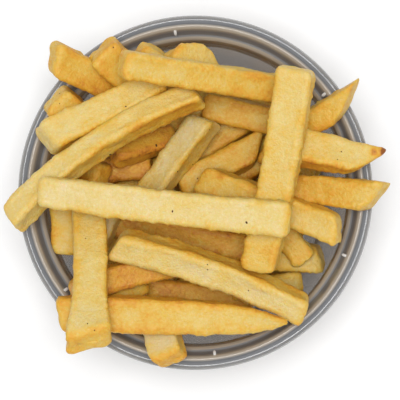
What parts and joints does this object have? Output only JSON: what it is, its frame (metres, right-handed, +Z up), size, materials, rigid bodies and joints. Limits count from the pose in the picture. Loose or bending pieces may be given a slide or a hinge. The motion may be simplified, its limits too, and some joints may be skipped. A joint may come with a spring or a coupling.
{
  "type": "french fries portion",
  "caption": "Portion of thick straight-cut french fries heaped above the rim of a round clear plastic takeaway tub.",
  "frame": {"origin": "middle of the tub's flat underside, on the surface it stands on", "axes": "+Z up; +Y towards the side that is at the top of the picture, +X towards its right"},
  "size_m": [0.1254, 0.118, 0.0896],
  "materials": {
    "tub_plastic": "clear smoke-grey food tub, glossy, see-through",
    "fried_potato": "fried potato, pale gold with golden-brown edges, matte with a thin oily sheen"
  },
  "bodies": {
    "root": {"tub": "tub_plastic", "fries": "fried_potato"}
  },
  "joints": []
}
